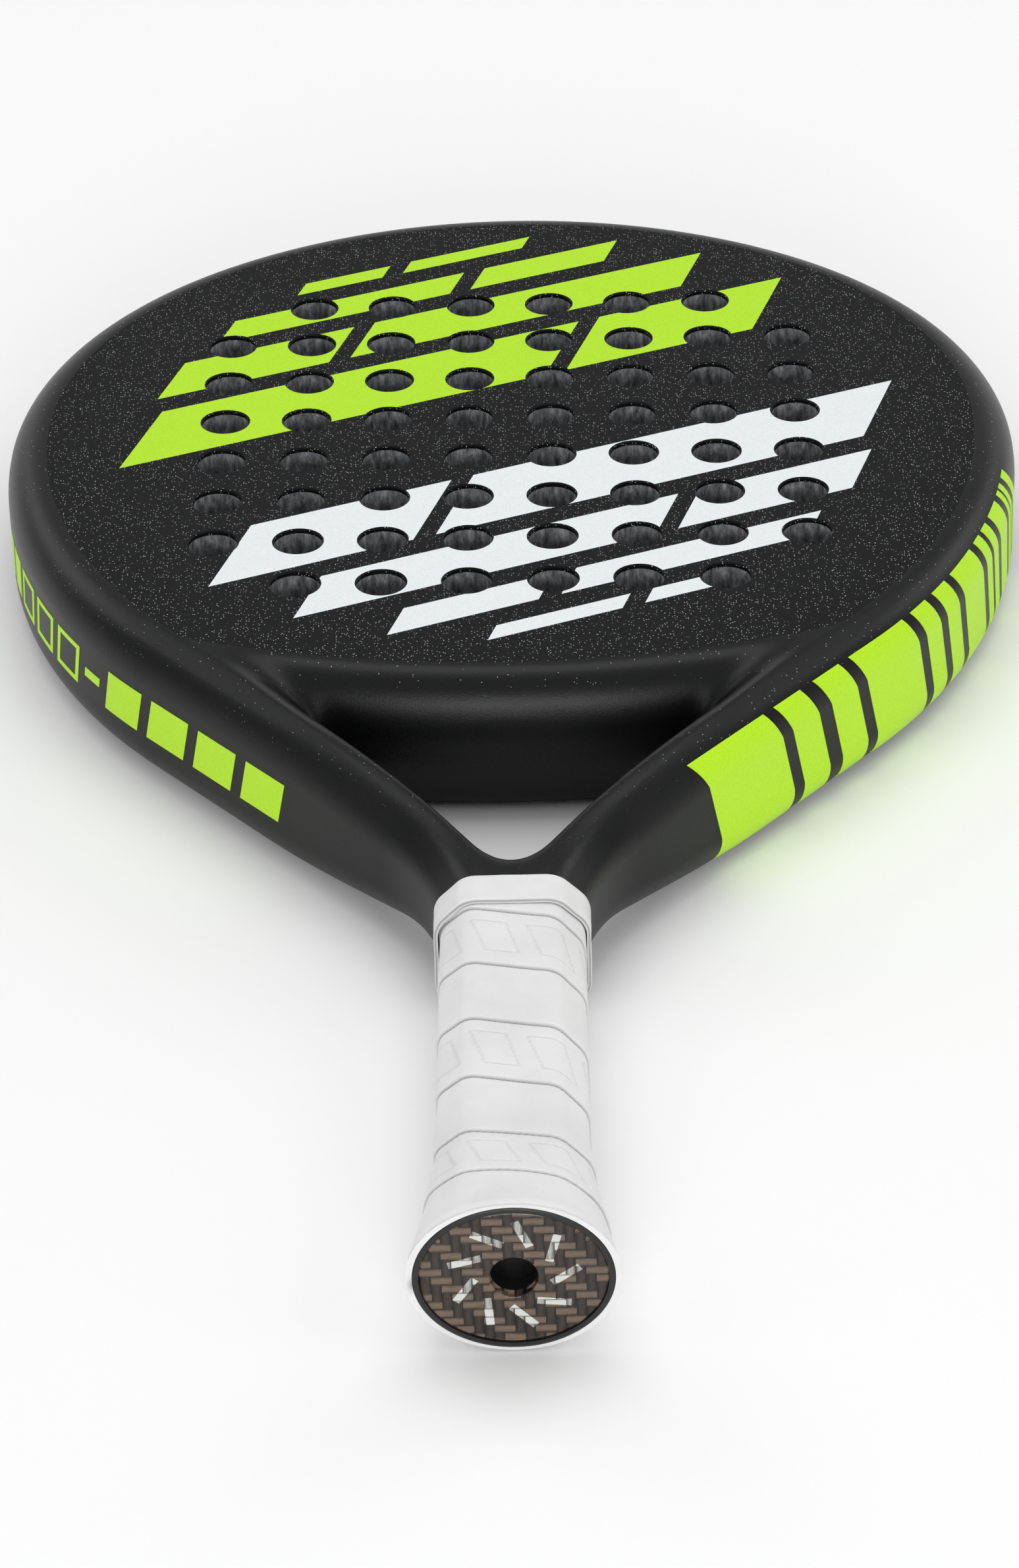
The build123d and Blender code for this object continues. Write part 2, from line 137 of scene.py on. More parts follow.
# ---- Grip ----
GRIP_HALF = (16.4, 15.1, 25.0)  # half width, half thickness and the facets' reach
OCTAGON_SOFTNESS = 0.006
WOUND_SMOOTH = 60
GRIP_COLUMNS = 264
GRIP_ROWS = 520
LINING_ROWS = 40
GRIP_SHEET = (1.2, 0.3)  # thickness along the handle and over the cap's flange
GRIP_LIP = (3.4, 1.7, 1.0)  # the rolled end: how long, and how far it draws in sideways and up and down
GRIP_END_OVAL = (22.4, 18.9)
GRIP_TOP_Y = -104.5
GRIP_END_Y = -227.3
FLARE_Y = -192.0
FLARE_POWER = 1.25
WRAP_FIRST_Y = -122.0
WRAP_PITCH = 20.9
WRAP_TIGHT_Y = -185.0  # below here the flare draws the turns closer
WRAP_TIGHT_RUN = 30.0
WRAP_TIGHTEN = 0.0105
WRAP_STEP = 0.5
WRAP_LAP = 0.975  # share of a turn where its lower edge drops
WRAP_CREASE = 0.3
WRAP_SEAM = 0.013  # share of a turn
PRESSES_ROUND = 8
GRIP_GIRTH = 100.0
PRESS_HALF = 0.3
PRESS_SPAN = (0.2, 0.75)
PRESS_LEAN = 0.45
PRESS_DEPTH = 0.25
PRESS_LINE = 0.2  # millimetres
PRESS_END_Y = -212.0
# share of a seam's painted shade that the pressed outlines get
PRESS_SHADE = 0.22
TAPE_HALF = (17.5, 16.2, 26.7)
TAPE_Y = (-114.0, -103.8)
TAPE_ROWS = 72
TAPE_SHEET = 1.0
TAPE_ROLL = 0.35  # how far its edges draw in
TAPE_EDGE = 0.5
# width of the painted shade along the tape's lower edge
TAPE_LINE = 0.25
TAPE_RIPPLE = 0.05
TAPE_WAVES = ((9, 0.7), (4, -0.4))  # waves round the handle, and radians for each millimetre along it

# ---- Camera: where it stands, its right, up and back directions, and its lens in millimetres ----
CAMERA_AT = (0.012811, -1.003124, 0.632841)
CAMERA_AXES = ((0.999723, -0.000952, -0.023504), (0.020323, 0.538114, 0.842627),
               (0.011845, -0.842871, 0.537985))
CAMERA_LENS = 111.64

# ---- Finishes: noise scales are per metre ----
MOTTLE, TOOTH = 45, 2600  # painted carbon
TOOTH_DARK, TOOTH_LIGHT = 0.7, 1.45  # its shades, as shares of its black
SPECK_CELLS, SPECK_R = 1600, 0.2
SPECK_FADE = 6.0  # the specks thin out this far below the faces
SPECK_COLOUR = (0.5, 0.51, 0.52, 1)
PRINT_SHEEN, PRINT_MOTTLE, PRINT_TOOTH = 0.42, 60, 2200
SHREDS = 620  # foam
SHRED_STRETCH = (1, 1, 0.35)
PLASTIC_GRAIN = 1500
STEEL_GRAIN = 900
TOW = 2.1  # width of one carbon tow in the badge
FIBRE_LONG, FIBRE_WIDE, FIBRE_SCALE = 0.35, 7.0, 2.2  # the streaks in each tow
TOW_LIT, TOW_DIM = 1.6, 0.55  # the tows across and along the light
RESIN_RIPPLE = 70
SKIN_MARKS, SKIN_PORES = 55, 1900
CREASE_SHADE_SHARE = 0.75  # how far the creases turn to their painted shade grey
# the grey of the painted shade in the creases
CREASE_SHADE_GREY = (112, 112, 112)
WORN = 0.93  # the darkest shade of a print or a grip

# ---- Floor, lamps and sky ----
FLOOR_HALF = 2e4
FLOOR_COLOUR = (0.95, 0.95, 0.95, 1)
LAMPS = (  # name, place and aim in metres, size in metres, watts
    ("overhead", (0.0, 0.35, 1.5), (0, 0, 0), (1.3, 1.0), 7.5),
    ("ceiling", (0.0, 0.0, 3.2), (0, 0, 0), (7.0, 7.0), 48),
    ("back_left", (-1.05, 1.0, 0.85), (0, 0, 0), (0.7, 0.7), 2.5),
    ("back_right", (1.15, 0.9, 0.85), (0, 0, 0), (0.7, 0.7), 3),
    ("backdrop", (0.0, 2.2, 0.5), (0, 0, 0.2), (3.2, 0.9), 3),
    ("left_side", (-1.3, -0.5, 0.7), (0, -0.05, 0), (0.7, 1.2), 1.5),
    ("right_side", (1.3, -0.5, 0.7), (0, -0.05, 0), (0.7, 1.2), 2.5),
    ("front_low", (0.0, -1.5, 0.5), (0, -0.2, 0), (0.8, 0.4), 9),
)
HORIZON, ZENITH = (0.7, 0.7, 0.7, 1), (0.28, 0.28, 0.28, 1)
HORIZON_AT, ZENITH_AT = 0.02, 0.3  # heights in the sky


# ============================== small helpers ==============================
def smooth_max(a, b, k):
    """The larger of a and b, blended over the width k."""
    h = np.maximum(k - np.abs(a - b), 0.0) / k
    return np.maximum(a, b) + h * h * k / 4


def fade(y, low, high):
    """0 below low, 1 above high, smooth between."""
    t = np.clip((y - low) / (high - low), 0.0, 1.0)
    return t * t * (3 - 2 * t)


def new_object(name, mesh, material, smooth_deg):
    """Puts a mesh into the scene as one named piece, with its finish."""
    piece = bpy.data.objects.new(name, mesh)
    bpy.context.scene.collection.objects.link(piece)
    mesh.materials.clear()
    mesh.materials.append(material)
    mesh.polygons.foreach_set("use_smooth", [True] * len(mesh.polygons))
    mesh.set_sharp_from_angle(angle=math.radians(smooth_deg))
    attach(piece, "root")
    return piece


def array_mesh(name, points, faces):
    """A mesh from arrays of points, in millimetres, and of faces with equal corner counts."""
    mesh = bpy.data.meshes.new(name)
    mesh.vertices.add(len(points))
    mesh.vertices.foreach_set("co", (np.asarray(points, dtype=np.float32) * MM).ravel())
    corners = faces.shape[1]
    mesh.loops.add(faces.size)
    mesh.loops.foreach_set("vertex_index", faces.astype(np.int32).ravel())
    mesh.polygons.add(len(faces))
    mesh.polygons.foreach_set("loop_start", np.arange(0, faces.size, corners, dtype=np.int32))
    mesh.update(calc_edges=True)
    mesh.validate()
    return mesh


def grid_faces(rows, columns, flip=False):
    """Quads over a rows x columns grid of points."""
    i, j = np.meshgrid(np.arange(rows - 1), np.arange(columns - 1), indexing="ij")
    here, below = i * columns + j, (i + 1) * columns + j
    quads = np.stack([here, here + 1, below + 1, below], axis=-1).reshape(-1, 4)
    return quads[:, ::-1] if flip else quads


def tidy_mesh(mesh):
    """Merges coincident points, drops collapsed faces, and leaves triangles that face outwards."""
    work = bmesh.new()
    work.from_mesh(mesh)
    bmesh.ops.remove_doubles(work, verts=work.verts, dist=MERGE)
    bmesh.ops.dissolve_degenerate(work, edges=work.edges, dist=MERGE)
    bmesh.ops.triangulate(work, faces=work.faces)
    bmesh.ops.recalc_face_normals(work, faces=work.faces)
    work.to_mesh(mesh)
    work.free()
    return mesh


# ============================== the body as a field ==============================
tip_centre_y = TIP_Y - TIP_R
brow_x = HALF_W - BROW_R
wide_y = tip_centre_y + math.sqrt((TIP_R - BROW_R) ** 2 - brow_x**2)
brow_start = math.atan2(wide_y - tip_centre_y, brow_x)
cheek_x = HALF_W - CHEEK_R
arm_top = (cheek_x + CHEEK_R * math.cos(ARM_ANGLE), wide_y - CHEEK_R * math.sin(ARM_ANGLE))
arm_foot_y = arm_top[1] - (arm_top[0] - HANDLE_HALF_W) / math.tan(ARM_ANGLE)
flare_centre = (HANDLE_HALF_W + FLARE_R, arm_foot_y - FLARE_R * math.tan(ARM_ANGLE / 2))


def outline_depth(x, y):
    """How far (x, y) is inside the body's plan outline: negative outside."""
    x = np.abs(x)
    tip = TIP_R - np.hypot(x, y - tip_centre_y)
    brow = BROW_R - np.hypot(x - brow_x, y - wide_y)
    cheek = CHEEK_R - np.hypot(x - cheek_x, y - wide_y)
    arm = -((x - arm_top[0]) * math.cos(ARM_ANGLE) - (y - arm_top[1]) * math.sin(ARM_ANGLE))
    flare = np.hypot(x - flare_centre[0], y - flare_centre[1]) - FLARE_R
    upper = np.where(np.arctan2(y - wide_y, x - brow_x) > brow_start, tip, brow)
    low_angle = np.arctan2(wide_y - y, x - cheek_x)
    flare_angle = np.arctan2(y - flare_centre[1], flare_centre[0] - x)
    lower = np.where(low_angle < ARM_ANGLE, cheek, arm)
    lower = np.where((y < 0) & (flare_angle < ARM_ANGLE), flare, lower)
    lower = np.where(y < flare_centre[1], HANDLE_HALF_W - x, lower)
    return np.where(y > wide_y, upper, lower)


def throat_distance(x, y):
    """How far (x, y) is outside the throat opening: negative inside it."""
    bridge = BRIDGE_R - np.hypot(x, y - BRIDGE_Y - BRIDGE_R)
    run = math.hypot(THROAT_CORNER[0], THROAT_CORNER[1] - THROAT_POINT_Y)
    nx, ny = (THROAT_CORNER[1] - THROAT_POINT_Y) / run, -THROAT_CORNER[0] / run
    right = x * nx + (y - THROAT_POINT_Y) * ny
    left = -x * nx + (y - THROAT_POINT_Y) * ny
    return smooth_max(bridge, smooth_max(left, right, CROTCH_BLEND), CORNER_BLEND)


def corner_distance(side, top):
    """Distance from a corner with a wall on one side and a top: it rounds where both are above 0."""
    return np.hypot(np.maximum(side, 0), np.maximum(top, 0)) + np.minimum(np.maximum(side, top), 0)


def body_field(x, y, z):
    """Negative inside the moulded body: rounded shoulders that turn into the handle's facets."""
    high = np.abs(z - MID_Z)
    half_t = HANDLE_HALF_T + (MID_Z - HANDLE_HALF_T) * fade(y, *TAPER)
    depth = outline_depth(x, y)
    rounded = corner_distance(SHOULDER_R - depth, high - (half_t - SHOULDER_R)) - SHOULDER_R
    facet = (high - half_t + FACET - depth) / math.sqrt(2)
    faceted = smooth_max(smooth_max(-depth, high - half_t, HANDLE_EDGE_BLEND), facet, FACET_BLEND)
    amount = fade(y, *FACET_FADE)
    outer = faceted * (1 - amount) + rounded * amount
    reach, drop = (low + (full - low) * fade(y, *EDGE_FADE) for low, full in zip(CROTCH_EDGE, BRIDGE_EDGE))
    gap = throat_distance(x, y)
    inner = corner_distance(reach - gap, (high - (half_t - drop)) * reach / drop) - reach
    narrow = 1 - fade(np.minimum(depth, gap), *RIDGE_NEAR)
    narrow = narrow * (1 - fade(np.maximum(depth, gap), *RIDGE_FAR))
    body = smooth_max(outer, inner, RIDGE_BLEND * (narrow + RIDGE_LEAST))
    return np.maximum(body, LEG_END_Y - y)


def field_slope(points):
    """The field's gradient at each point."""
    slopes = []
    for axis in range(3):
        shift = np.zeros(3)
        shift[axis] = SLOPE_STEP
        rise = body_field(*(points + shift).T) - body_field(*(points - shift).T)
        slopes.append(rise / (2 * SLOPE_STEP))
    return np.stack(slopes, axis=1)


def onto_body(points, level=0.0):
    """Moves points along the field's slope until they lie at the given distance from the body's surface."""
    points = np.array(points, dtype=float)
    for _ in range(SETTLE_ROUNDS):
        slope = field_slope(points)
        squared = np.maximum((slope**2).sum(axis=1), SLOPE_LEAST)
        points -= slope * ((body_field(*points.T) - level) / squared)[:, None]
    return points


def body_mesh():
    """The moulded body's surface, from a voxel field and then moved onto the exact one."""
    low = np.array([-HALF_W, LEG_END_Y, 0.0]) - VOXEL_MARGIN
    high = np.array([HALF_W, TIP_Y, THICK]) + VOXEL_MARGIN
    axes = [np.arange(low[k], high[k], VOXEL) for k in range(3)]
    plan_x, plan_y, plan_z = np.meshgrid(*axes, indexing="ij", sparse=True)
    field = body_field(plan_x, plan_y, plan_z).astype(np.float32)
    grid = openvdb.FloatGrid(VOXEL_BAND)
    grid.copyFromArray(np.clip(field, -VOXEL_BAND, VOXEL_BAND))
    points, quads = grid.convertToQuads(0.0)
    points = onto_body(points * VOXEL + low)
    return array_mesh("frame_shape", points, quads[:, ::-1])


def top_loop(node, level):
    """The outer boundary of a face sheet at the given height, as an ordered list of plan points."""
    work = bmesh.new()
    work.from_mesh(bpy.data.objects[node].data)
    bmesh.ops.remove_doubles(work, verts=work.verts, dist=MERGE)
    links = {}
    for edge in work.edges:
        if len(edge.link_faces) != 2 or any(abs(v.co.z - level) > LEVEL_SLACK for v in edge.verts):
            continue
        wall, top = sorted(abs(f.normal.z) for f in edge.link_faces)
        if wall < WALL_TILT and top > TOP_TILT:
            a, b = edge.verts
            links.setdefault(a, []).append(b)
            links.setdefault(b, []).append(a)
    start = max(links, key=lambda v: v.co.y)
    loop, previous = [start], None
    while True:
        following = next(v for v in links[loop[-1]] if v is not previous)
        if following is start:
            break
        previous = loop[-1]
        loop.append(following)
    points = [(v.co.x, v.co.y) for v in loop]
    work.free()
    return points


def prism(name, loop, low, high):
    """A closed prism over a plan loop, as an object for cutting."""
    mesh = bpy.data.meshes.new(name)
    work = bmesh.new()
    bottom = [work.verts.new((x, y, low)) for x, y in loop]
    top = [work.verts.new((x, y, high)) for x, y in loop]
    work.faces.new(bottom)
    work.faces.new(top)
    for k in range(len(loop)):
        n = (k + 1) % len(loop)
        work.faces.new((bottom[k], bottom[n], top[n], top[k]))
    bmesh.ops.recalc_face_normals(work, faces=work.faces)
    work.to_mesh(mesh)
    work.free()
    cutter = bpy.data.objects.new(name, mesh)
    bpy.context.scene.collection.objects.link(cutter)
    return cutter


def cut(mesh, cutter):
    """The mesh less the cutter, which is removed afterwards."""
    target = bpy.data.objects.new("cut_target", mesh)
    bpy.context.scene.collection.objects.link(target)
    modifier = target.modifiers.new("cut", "BOOLEAN")
    modifier.operation = "DIFFERENCE"
    modifier.solver = "MANIFOLD"
    modifier.object = cutter
    result = bpy.data.meshes.new_from_object(target.evaluated_get(bpy.context.evaluated_depsgraph_get()))
    for used in (target, cutter):
        bpy.data.objects.remove(used)
    return result


# ============================== side graphics ==============================
def wall_x(y):
    """Half the body's width at y."""
    low, high = 0.0, HALF_W
    for _ in range(WALL_HALVINGS):
        middle = (low + high) / 2
        if outline_depth(np.array(middle), np.array(y)) > 0:
            low = middle
        else:
            high = middle
    return low


wall_y = np.linspace(*WALL_ENDS, WALL_POINTS)
wall_half = np.array([wall_x(y) for y in wall_y])


def starts(first_y, widths):
    """Where each block of a row begins."""
    return [first_y + sum(widths[:k]) + k * BLOCK_GAP for k in range(len(widths))]


def leaning(y, width, low, high):
    """A leaning block's corners: (y, height) from its low start round to its high start."""
    return ((y - low * LEAN, low), (y + width - low * LEAN, low), (y + width - high * LEAN, high),
            (y - high * LEAN, high))


def film(corners, side):
    """A thin film on the body over one leaning patch, as points and faces."""
    along, across = FILM_GRID
    (y0, h0), (y1, _), (y2, h2), (y3, _) = corners
    u = np.linspace(0, 1, along)[:, None]
    v = np.linspace(0, 1, across)[None, :]
    y = (y0 * (1 - u) + y1 * u) * (1 - v) + (y3 * (1 - u) + y2 * u) * v
    high = h0 * (1 - v) + h2 * v + 0 * u
    half = np.interp(y, wall_y, wall_half)
    inset = np.maximum(np.abs(high) - (MID_Z - SHOULDER_R), 0)
    x = side * (half - SHOULDER_DRAW * inset)
    ground = np.stack([x.ravel(), y.ravel(), (MID_Z + high).ravel()], axis=1)
    outer = onto_body(ground, FILM)
    inner = onto_body(ground, -FILM_DEPTH)
    count = along * across
    faces = [grid_faces(along, across), grid_faces(along, across, flip=True) + count]
    edge = [k * across for k in range(along)]
    edge += [(along - 1) * across + k for k in range(1, across)]
    edge += [k * across + across - 1 for k in range(along - 2, -1, -1)]
    edge += list(range(across - 2, 0, -1))
    edge = np.array(edge)
    following = np.roll(edge, -1)
    faces.append(np.stack([edge, edge + count, following + count, following], axis=1))
    return np.concatenate([outer, inner]), np.concatenate(faces)


def films_object(name, patches, side, material):
    """All of one side's films as one piece."""
    points, faces, offset = [], [], 0
    for corners in patches:
        p, f = film(corners, side)
        points.append(p)
        faces.append(f + offset)
        offset += len(p)
    mesh = tidy_mesh(array_mesh(name, np.concatenate(points), np.concatenate(faces)))
    return new_object(name, mesh, material, FILM_SMOOTH)


# ============================== grip and finishing tape ==============================
def soft_octagon(angle, half_w, half_t, reach):
    """Radius of a soft-cornered octagon at each angle round the handle's axis."""
    c, s = np.abs(np.cos(angle)), np.abs(np.sin(angle))
    flats = smooth_max(c / half_w, s / half_t, OCTAGON_SOFTNESS)
    return 1 / smooth_max(flats, (c + s) / reach, OCTAGON_SOFTNESS)


def handle_radius(angle, y):
    """The wrapped grip's radius: octagonal, opening to an oval at the butt."""
    straight = soft_octagon(angle, *GRIP_HALF)
    oval = 1 / np.hypot(np.cos(angle) / GRIP_END_OVAL[0], np.sin(angle) / GRIP_END_OVAL[1])
    share = np.clip((FLARE_Y - y) / (FLARE_Y - GRIP_END_Y), 0, 1) ** FLARE_POWER
    return straight * (1 - share) + oval * share


def wrap_turn(angle, y):
    """How many turns of the wrap lie above (angle, y): whole numbers are the seams."""
    tight = WRAP_TIGHTEN * np.clip(WRAP_TIGHT_Y - y, 0, WRAP_TIGHT_RUN) ** 2
    return (WRAP_FIRST_Y - (y - tight)) / WRAP_PITCH + angle / (2 * math.pi)


def wrap_relief(angle, y):
    """The wrap's relief, each turn lying over the next one, and how deep in a seam each point is, which also
    sets the seam's painted shade.
    """
    turn = wrap_turn(angle, y)
    across = turn - np.floor(turn)
    lap = across * (1 - fade(across, WRAP_LAP, 1.0))
    crease_and_painted_shade = np.exp(-(((across + 0.5) % 1 - 0.5) / WRAP_SEAM) ** 2)
    return WRAP_STEP * (lap - 1) - WRAP_CREASE * crease_and_painted_shade, crease_and_painted_shade


def press(angle, y):
    """Outlines of slanted bars pressed into every other turn of the wrap: 1 on an outline, 0 away from it;
    the outlines also get painted shade.
    """
    turn = wrap_turn(angle, y)
    number = np.floor(turn)
    across = turn - number
    along = (number + (angle / (2 * math.pi))) * PRESSES_ROUND + across * PRESS_LEAN
    cell = np.abs((along % 1) - 0.5)
    ends = np.minimum(across - PRESS_SPAN[0], PRESS_SPAN[1] - across) * WRAP_PITCH
    inside = np.minimum((PRESS_HALF - cell) * GRIP_GIRTH / PRESSES_ROUND, ends)
    return np.exp(-(inside / PRESS_LINE) ** 2) * (number % 2 == 0) * (y > PRESS_END_Y)


def tube(name, ys, angles, outer, inner, material, shade):
    """A closed tube round the handle's axis, from its radii over ys x angles, with painted shade marked in
    its creases.
    """
    rows = []
    lining = np.linspace(len(ys) - 1, 0, LINING_ROWS).astype(int)
    for radius, order in ((outer, range(len(ys))), (inner, lining)):
        for k in order:
            rows.append(np.stack([radius[k] * np.cos(angles), np.full(len(angles), ys[k]),
                                  MID_Z + radius[k] * np.sin(angles)], axis=1))
    points = np.concatenate(rows)
    columns = len(angles)
    i, j = np.meshgrid(np.arange(len(rows)), np.arange(columns), indexing="ij")
    after_i, after_j = (i + 1) % len(rows), (j + 1) % columns
    corners = (i * columns + j, i * columns + after_j, after_i * columns + after_j, after_i * columns + j)
    faces = np.stack(corners, axis=-1).reshape(-1, 4)
    mesh = array_mesh(name, points, faces)
    # the creases' painted shade, kept on each point for the finish
    marks = mesh.attributes.new("crease_and_painted_shade", "FLOAT", "POINT")
    marks.data.foreach_set("value", np.pad(shade, ((0, LINING_ROWS), (0, 0))).astype(np.float32).ravel())
    return new_object(name, mesh, material, WOUND_SMOOTH)


def grip_mesh(material):
    """The wound grip."""
    angles = np.linspace(0, 2 * math.pi, GRIP_COLUMNS, endpoint=False)
    ys = np.linspace(GRIP_TOP_Y, GRIP_END_Y, GRIP_ROWS)
    grid_y, grid_a = np.meshgrid(ys, angles, indexing="ij")
    core = handle_radius(grid_a, grid_y)
    rim = np.clip((GRIP_END_Y + GRIP_LIP[0] - grid_y) / GRIP_LIP[0], 0, 1)
    draw_in = GRIP_LIP[1] * np.cos(grid_a) ** 2 + GRIP_LIP[2] * np.sin(grid_a) ** 2
    relief, seam_shade = wrap_relief(grid_a, grid_y)
    pressed = press(grid_a, grid_y)
    outer = core + (relief - PRESS_DEPTH * pressed) * (1 - rim) - draw_in * rim**2
    sheet = GRIP_SHEET[0] + (GRIP_SHEET[1] - GRIP_SHEET[0]) * rim
    # painted shade along the wrap's seams and in the pressed outlines
    shade = np.maximum(seam_shade, PRESS_SHADE * pressed)
    return tube("grip_wrap", ys, angles, outer, core - sheet, material, shade)


def tape_mesh(material):
    """The finishing tape, drawn down at its edges and slightly rippled, with painted shade along its lower
    edge.
    """
    angles = np.linspace(0, 2 * math.pi, GRIP_COLUMNS, endpoint=False)
    ys = np.linspace(TAPE_Y[1], TAPE_Y[0], TAPE_ROWS)
    grid_y, grid_a = np.meshgrid(ys, angles, indexing="ij")
    core = soft_octagon(grid_a, *TAPE_HALF)
    edge = np.minimum(TAPE_Y[1] - grid_y, grid_y - TAPE_Y[0])
    first, second = (np.sin(grid_a * turns + grid_y * rate) for turns, rate in TAPE_WAVES)
    outer = core + TAPE_RIPPLE * first * second - TAPE_ROLL * (1 - fade(edge, 0, TAPE_EDGE))
    low_edge_shade = np.exp(-((grid_y - TAPE_Y[0]) / TAPE_LINE) ** 2)
    return tube("tape_collar", ys, angles, outer, core - TAPE_SHEET, material, low_edge_shade)


# ============================== materials ==============================
def linear(red, green, blue):
    """A display colour, 0 to 255, as linear light."""
    shares = [c / 255 for c in (red, green, blue)]
    return [s / 12.92 if s < 0.04045 else ((s + 0.055) / 1.055) ** 2.4 for s in shares] + [1]


def material(name, colour, roughness, **sockets):
    """A Principled material with its even values set straight on the shader."""
    made = bpy.data.materials.new(name)
    made.use_nodes = True
    shader = made.node_tree.nodes["Principled BSDF"]
    shader.inputs["Base Color"].default_value = colour
    shader.inputs["Roughness"].default_value = roughness
    for label, value in sockets.items():
        shader.inputs[label.replace("_", " ")].default_value = value
    return made, made.node_tree.nodes, made.node_tree.links, shader


def place(nodes):
    """Object coordinates, in metres."""
    return nodes.new("ShaderNodeTexCoord").outputs["Object"]


def noise(nodes, links, source, scale, detail=3.0, roughness=0.5):
    """A noise texture's value over the object."""
    texture = nodes.new("ShaderNodeTexNoise")
    links.new(source, texture.inputs["Vector"])
    texture.inputs["Scale"].default_value = scale
    texture.inputs["Detail"].default_value = detail
    texture.inputs["Roughness"].default_value = roughness
    return texture.outputs["Fac"]


def ramp(nodes, links, value, *stops):
    """Colour stops (position, colour) over a value."""
    made = nodes.new("ShaderNodeValToRGB")
    links.new(value, made.inputs["Fac"])
    elements = made.color_ramp.elements
    while len(elements) < len(stops):
        elements.new(0.5)
    for element, (position, colour) in zip(elements, stops):
        element.position = position
        element.color = colour
    return made.outputs["Color"]


def maths(nodes, links, operation, *items):
    """One math node over values or numbers."""
    made = nodes.new("ShaderNodeMath")
    made.operation = operation
    for socket, item in zip(made.inputs, items):
        if isinstance(item, (int, float)):
            socket.default_value = item
        else:
            links.new(item, socket)
    return made.outputs["Value"]


def bump(nodes, links, shader, height, strength, distance):
    """Fine relief on a shader's normal."""
    made = nodes.new("ShaderNodeBump")
    links.new(height, made.inputs["Height"])
    made.inputs["Strength"].default_value = strength
    made.inputs["Distance"].default_value = distance
    links.new(made.outputs["Normal"], shader.inputs["Normal"])


def vary(nodes, links, shader, value, low, high):
    """A roughness that runs from low to high with a value."""
    made = nodes.new("ShaderNodeMapRange")
    links.new(value, made.inputs["Value"])
    made.inputs["From Min"].default_value = 0.3
    made.inputs["From Max"].default_value = 0.7
    made.inputs["To Min"].default_value = low
    made.inputs["To Max"].default_value = high
    links.new(made.outputs["Result"], shader.inputs["Roughness"])


def specks(nodes, links, source, scale, size, share):
    """Scattered fine grains: 1 inside a grain, 0 elsewhere."""
    cells = nodes.new("ShaderNodeTexVoronoi")
    links.new(source, cells.inputs["Vector"])
    cells.inputs["Scale"].default_value = scale
    near = maths(nodes, links, "LESS_THAN", cells.outputs["Distance"], size)
    tone = nodes.new("ShaderNodeSeparateColor")
    links.new(cells.outputs["Color"], tone.inputs["Color"])
    chosen = maths(nodes, links, "LESS_THAN", tone.outputs["Red"], share)
    return maths(nodes, links, "MULTIPLY", near, chosen)


def painted_carbon(name, speck_share, black, sheen, gloss):
    """Matte black paint: faint mottling, a fine tooth, and light mineral specks that thin out below the top.
    """
    made, nodes, links, shader = material(name, black, sheen, Specular_IOR_Level=gloss)
    at = place(nodes)
    broad = noise(nodes, links, at, MOTTLE, 4)
    fine = noise(nodes, links, at, TOOTH, 2)
    vary(nodes, links, shader, broad, sheen - 0.015, sheen + 0.015)
    grains = specks(nodes, links, at, SPECK_CELLS, SPECK_R, speck_share)
    split = nodes.new("ShaderNodeSeparateXYZ")
    links.new(at, split.inputs["Vector"])
    upper = nodes.new("ShaderNodeMapRange")
    links.new(split.outputs["Z"], upper.inputs["Value"])
    upper.inputs["From Min"].default_value = (THICK - SPECK_FADE) * MM
    upper.inputs["From Max"].default_value = THICK * MM
    shown = maths(nodes, links, "MULTIPLY", grains, upper.outputs["Result"])
    dark = [c * TOOTH_DARK for c in black[:3]] + [1]
    light = [c * TOOTH_LIGHT for c in black[:3]] + [1]
    ground = ramp(nodes, links, fine, (0.35, dark), (0.65, light))
    mix = nodes.new("ShaderNodeMix")
    mix.data_type = "RGBA"
    links.new(shown, mix.inputs["Factor"])
    links.new(ground, mix.inputs["A"])
    mix.inputs["B"].default_value = SPECK_COLOUR
    links.new(mix.outputs["Result"], shader.inputs["Base Color"])
    bump(nodes, links, shader, fine, 0.10, 0.0004)
    return made


def printed(name, colour):
    """A printed transfer: an even colour with the face's fine tooth showing through."""
    made, nodes, links, shader = material(name, colour, PRINT_SHEEN, Specular_IOR_Level=0.35)
    at = place(nodes)
    fine = noise(nodes, links, at, PRINT_TOOTH, 2)
    deep = [c * WORN for c in colour[:3]] + [1]
    links.new(ramp(nodes, links, fine, (0.36, deep), (0.6, colour)), shader.inputs["Base Color"])
    vary(nodes, links, shader, noise(nodes, links, at, PRINT_MOTTLE), PRINT_SHEEN - 0.04, PRINT_SHEEN + 0.05)
    bump(nodes, links, shader, fine, 0.08, 0.0003)
    return made


def foam(name):
    """Drilled foam: dark grey, torn and fibrous."""
    made, nodes, links, shader = material(name, linear(120, 122, 124), 0.95)
    at = place(nodes)
    stretch = nodes.new("ShaderNodeMapping")
    links.new(at, stretch.inputs["Vector"])
    stretch.inputs["Scale"].default_value = SHRED_STRETCH
    shreds = noise(nodes, links, stretch.outputs["Vector"], SHREDS, 5, 0.65)
    links.new(ramp(nodes, links, shreds, (0.34, linear(70, 71, 73)), (0.52, linear(124, 126, 128)),
                   (0.7, linear(176, 178, 180))), shader.inputs["Base Color"])
    bump(nodes, links, shader, shreds, 0.9, 0.0016)
    return made


def plastic(name, colour, roughness):
    """Moulded plastic with a faint spark-eroded texture."""
    made, nodes, links, shader = material(name, colour, roughness)
    grain = noise(nodes, links, place(nodes), PLASTIC_GRAIN, 2)
    vary(nodes, links, shader, grain, roughness - 0.05, roughness + 0.08)
    bump(nodes, links, shader, grain, 0.12, 0.0003)
    return made


def steel(name):
    """Drawn steel."""
    made, nodes, links, shader = material(name, linear(196, 198, 202), 0.3, Metallic=1.0)
    vary(nodes, links, shader, noise(nodes, links, place(nodes), STEEL_GRAIN, 3), 0.24, 0.4)
    return made


